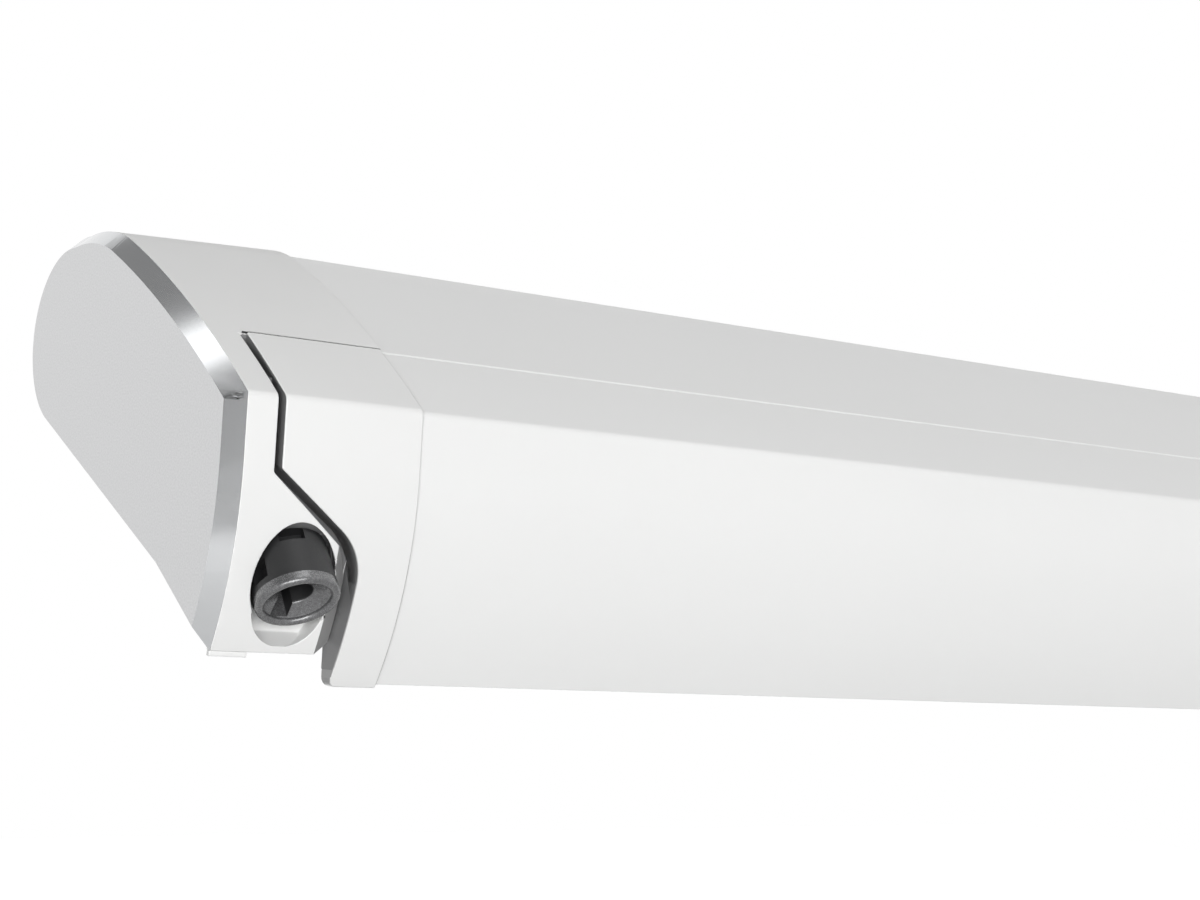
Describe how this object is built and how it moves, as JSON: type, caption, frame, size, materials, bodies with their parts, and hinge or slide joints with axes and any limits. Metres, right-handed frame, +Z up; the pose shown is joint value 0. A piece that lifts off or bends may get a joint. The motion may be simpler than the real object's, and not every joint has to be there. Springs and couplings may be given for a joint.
{
  "type": "roll out awning",
  "caption": "Closed cassette awning for a camper roof: long white housing and lead rail, bevelled silver end plates, crank eye in the end cap, folding arms, support legs and rolled cloth.",
  "frame": {"origin": "at mid-length on the pad under the housing that rests on the vehicle roof", "axes": "+X along the awning towards its plain end, +Y towards the vehicle, +Z up"},
  "size_m": [2.6, 0.1829, 0.1567],
  "materials": {
    "white_coat": "satin white powder coat",
    "cap_plastic": "satin white moulding",
    "silver_plate": "brushed silver anodised",
    "arm_metal": "satin anodised",
    "cast_joint": "cast, satin",
    "pin_steel": "bright steel",
    "gear_steel": "oiled steel",
    "tube_steel": "galvanised",
    "canopy_cloth": "coated cloth, matt",
    "seal_rubber": "matt",
    "eye_plastic": "satin dark grey moulding",
    "foot_plastic": "satin dark grey moulding"
  },
  "bodies": {
    "cassette": {"housing": "white_coat", "lid_seal": "seal_rubber", "cap_screws": "pin_steel", "gear_frame": "gear_steel", "roller_bearing": "gear_steel", "left_end_cap": "cap_plastic", "left_end_plate": "silver_plate", "left_shoulder_bracket": "cast_joint", "left_shoulder_pin": "pin_steel", "right_end_cap": "cap_plastic", "right_end_plate": "silver_plate", "right_shoulder_bracket": "cast_joint", "right_shoulder_pin": "pin_steel"},
    "crank_drive": {"crank_eye": "eye_plastic", "worm_shaft": "gear_steel"},
    "lay_gear": {"lay_shaft": "gear_steel", "worm_wheel": "gear_steel", "lay_pinion": "gear_steel"},
    "roller": {"roller_tube": "tube_steel", "canopy_roll": "canopy_cloth", "left_roller_plug": "foot_plastic", "right_roller_plug": "foot_plastic"},
    "canopy_front": {"canopy_web": "canopy_cloth"},
    "lead_bar": {"lead_rail": "white_coat", "canopy_piping": "seal_rubber", "left_rail_cap": "cap_plastic", "left_wrist_bracket": "cast_joint", "left_wrist_pin": "pin_steel", "left_leg_pin": "pin_steel", "right_rail_cap": "cap_plastic", "right_wrist_bracket": "cast_joint", "right_wrist_pin": "pin_steel", "right_leg_pin": "pin_steel"},
    "left_upper_arm": {"left_upper_arm_knuckle": "cast_joint", "left_upper_arm_tube": "arm_metal", "left_elbow_fork": "cast_joint", "left_elbow_pin": "pin_steel"},
    "left_forearm": {"left_forearm_knuckle": "cast_joint", "left_forearm_tube": "arm_metal", "left_wrist_knuckle": "cast_joint"},
    "left_leg": {"left_leg_knuckle": "foot_plastic", "left_leg_tube": "arm_metal", "left_leg_collar": "foot_plastic"},
    "left_leg_inner": {"left_leg_inner_tube": "arm_metal"},
    "left_foot": {"left_leg_foot": "foot_plastic"},
    "left_lever": {"left_leg_lever": "foot_plastic"},
    "right_upper_arm": {"right_upper_arm_knuckle": "cast_joint", "right_upper_arm_tube": "arm_metal", "right_elbow_fork": "cast_joint", "right_elbow_pin": "pin_steel"},
    "right_forearm": {"right_forearm_knuckle": "cast_joint", "right_forearm_tube": "arm_metal", "right_wrist_knuckle": "cast_joint"},
    "right_leg": {"right_leg_knuckle": "foot_plastic", "right_leg_tube": "arm_metal", "right_leg_collar": "foot_plastic"},
    "right_leg_inner": {"right_leg_inner_tube": "arm_metal"},
    "right_foot": {"right_leg_foot": "foot_plastic"},
    "right_lever": {"right_leg_lever": "foot_plastic"}
  },
  "joints": [
    {"name": "left_shoulder", "type": "hinge", "parent": "cassette", "child": "left_upper_arm", "pos_m": [-1.15, -0.06611, -0.0034], "axis": [0, 0.1392, -0.9903], "range_deg": [0, 74]},
    {"name": "left_elbow", "type": "hinge", "parent": "left_upper_arm", "child": "left_forearm", "pos_m": [-0.1, -0.0775, -0.005], "axis": [0, 0.1392, -0.9903], "range_deg": [-148.01, 0]},
    {"name": "left_wrist", "type": "hinge", "parent": "left_forearm", "child": "lead_bar", "pos_m": [-1.15, -0.08889, -0.0066], "axis": [0, 0.1392, -0.9903], "range_deg": [0, 74.01]},
    {"name": "right_shoulder", "type": "hinge", "parent": "cassette", "child": "right_upper_arm", "pos_m": [1.15, -0.06611, -0.0034], "axis": [0, 0.1392, -0.9903], "range_deg": [-74.01, 0]},
    {"name": "right_elbow", "type": "hinge", "parent": "right_upper_arm", "child": "right_forearm", "pos_m": [0.1, -0.0775, -0.005], "axis": [0, 0.1392, -0.9903], "range_deg": [0, 148.01]},
    {"name": "canopy_slide", "type": "slide", "parent": "cassette", "child": "canopy_front", "axis": [0, -0.9903, -0.1392], "range_m": [0, 2.003], "deforming": ["canopy_web"]},
    {"name": "roller_turn", "type": "hinge", "parent": "cassette", "child": "roller", "pos_m": [0, -0.022, 0.033], "axis": [1, 0, 0], "range_deg": [0, 4346]},
    {"name": "lay_turn", "type": "hinge", "parent": "cassette", "child": "lay_gear", "pos_m": [-1.25, -0.06259, 0.00144], "axis": [1, 0, 0], "range_deg": [-3105, 0]},
    {"name": "crank_turn", "type": "hinge", "parent": "cassette", "child": "crank_drive", "pos_m": [-1.2715, -0.13, -0.052], "axis": [0, 0.5592, 0.829], "range_deg": [-31037, 0]},
    {"name": "left_leg_swing", "type": "hinge", "parent": "lead_bar", "child": "left_leg", "pos_m": [-1.175, -0.0976, -0.0545], "axis": [0, 1, 0], "range_deg": [0, 90]},
    {"name": "left_leg_slide", "type": "slide", "parent": "left_leg", "child": "left_leg_inner", "axis": [1, 0, 0], "range_m": [0, 0.951]},
    {"name": "left_foot_turn", "type": "hinge", "parent": "left_leg_inner", "child": "left_foot", "pos_m": [-0.084, -0.0976, -0.0545], "axis": [0, -1, 0], "range_deg": [0, 90.01]},
    {"name": "left_lever_turn", "type": "hinge", "parent": "left_leg", "child": "left_lever", "pos_m": [-0.136, -0.0976, -0.0656], "axis": [0, -1, 0], "range_deg": [0, 60]},
    {"name": "right_leg_swing", "type": "hinge", "parent": "lead_bar", "child": "right_leg", "pos_m": [1.175, -0.0976, -0.0545], "axis": [0, -1, 0], "range_deg": [0, 90]},
    {"name": "right_leg_slide", "type": "slide", "parent": "right_leg", "child": "right_leg_inner", "axis": [-1, 0, 0], "range_m": [0, 0.951]},
    {"name": "right_foot_turn", "type": "hinge", "parent": "right_leg_inner", "child": "right_foot", "pos_m": [0.084, -0.0976, -0.0545], "axis": [0, 1, 0], "range_deg": [0, 90.01]},
    {"name": "right_lever_turn", "type": "hinge", "parent": "right_leg", "child": "right_lever", "pos_m": [0.136, -0.0976, -0.0656], "axis": [0, 1, 0], "range_deg": [0, 60]}
  ],
  "couplings": [
    {"joint": "left_elbow", "follows": "left_shoulder", "ratio": -2},
    {"joint": "left_wrist", "follows": "left_shoulder", "ratio": 1},
    {"joint": "right_shoulder", "follows": "left_shoulder", "ratio": -1},
    {"joint": "right_elbow", "follows": "left_shoulder", "ratio": 2},
    {"joint": "canopy_slide", "follows": "left_shoulder", "m_per_rad": 1.5501},
    {"joint": "roller_turn", "follows": "left_shoulder", "ratio": 58.715},
    {"joint": "lay_turn", "follows": "left_shoulder", "ratio": -41.939},
    {"joint": "crank_turn", "follows": "left_shoulder", "ratio": -419.39},
    {"joint": "left_leg_slide", "follows": "left_leg_swing", "m_per_rad": 0.60479},
    {"joint": "left_foot_turn", "follows": "left_leg_swing", "ratio": 1},
    {"joint": "right_leg_slide", "follows": "right_leg_swing", "m_per_rad": 0.60479},
    {"joint": "right_foot_turn", "follows": "right_leg_swing", "ratio": 1}
  ]
}
